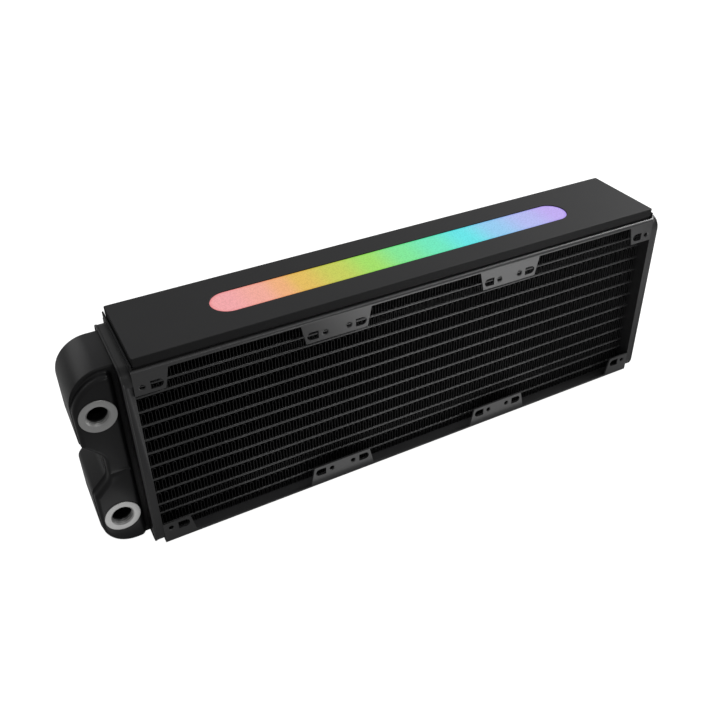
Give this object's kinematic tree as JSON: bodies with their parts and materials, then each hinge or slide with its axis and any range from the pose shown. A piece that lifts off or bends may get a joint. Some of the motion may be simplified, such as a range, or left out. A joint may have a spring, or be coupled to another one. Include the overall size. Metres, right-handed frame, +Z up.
{
  "type": "liquid cooling radiator",
  "caption": "Long finned radiator for liquid cooling with an end tank carrying two threaded ports, fan screw rails on both faces and a lit cover strip on top.",
  "frame": {"origin": "centre of the footprint on the surface that the radiator stands on, at the lower side rail's outer face", "axes": "+X along the length from the port tank to the return tank, +Y from the port face to the back face, +Z up towards the lit cover"},
  "size_m": [0.4, 0.06, 0.1343],
  "materials": {
    "frame_paint": "satin black powder coat",
    "header_paint": "satin black paint",
    "tank_paint": "satin black paint",
    "tube_paint": "thin black paint",
    "fin_paint": "thin black paint",
    "cover_paint": "satin dark grey anodised look",
    "tray_paint": "matt black paint",
    "brass_plate": "bare brass",
    "nickel_plate": "satin nickel plating",
    "milky_diffuser": "milky translucent acrylic, lit from below",
    "white_board": "white solder mask",
    "lamp_body": "lamp with clear cap",
    "socket_plastic": "natural nylon",
    "black_screw": "black oxide",
    "zinc_screw": "zinc plated",
    "aluminium_rivet": "bare aluminium"
  },
  "bodies": {
    "root": {"upper_side_rail": "frame_paint", "lower_side_rail": "frame_paint", "port_header_plate": "header_paint", "return_header_plate": "header_paint", "port_tank_shell": "tank_paint", "return_tank_shell": "tank_paint", "tank_divider": "brass_plate", "inlet_port_bush": "nickel_plate", "outlet_port_bush": "nickel_plate", "led_base_tray": "tray_paint", "led_cover": "cover_paint", "light_diffuser": "milky_diffuser", "led_circuit_board": "white_board", "led_lamps": "lamp_body", "led_socket": "socket_plastic", "cover_screws": "black_screw", "board_screws": "zinc_screw", "tray_rivets": "aluminium_rivet", "tube_01": "tube_paint", "tube_02": "tube_paint", "tube_03": "tube_paint", "tube_04": "tube_paint", "tube_05": "tube_paint", "tube_06": "tube_paint", "tube_07": "tube_paint", "tube_08": "tube_paint", "tube_09": "tube_paint", "tube_10": "tube_paint", "tube_11": "tube_paint", "tube_12": "tube_paint", "tube_13": "tube_paint", "fin_strip_01": "fin_paint", "fin_strip_02": "fin_paint", "fin_strip_03": "fin_paint", "fin_strip_04": "fin_paint", "fin_strip_05": "fin_paint", "fin_strip_06": "fin_paint", "fin_strip_07": "fin_paint", "fin_strip_08": "fin_paint", "fin_strip_09": "fin_paint", "fin_strip_10": "fin_paint", "fin_strip_11": "fin_paint", "fin_strip_12": "fin_paint", "fin_strip_13": "fin_paint", "fin_strip_14": "fin_paint"}
  },
  "joints": []
}
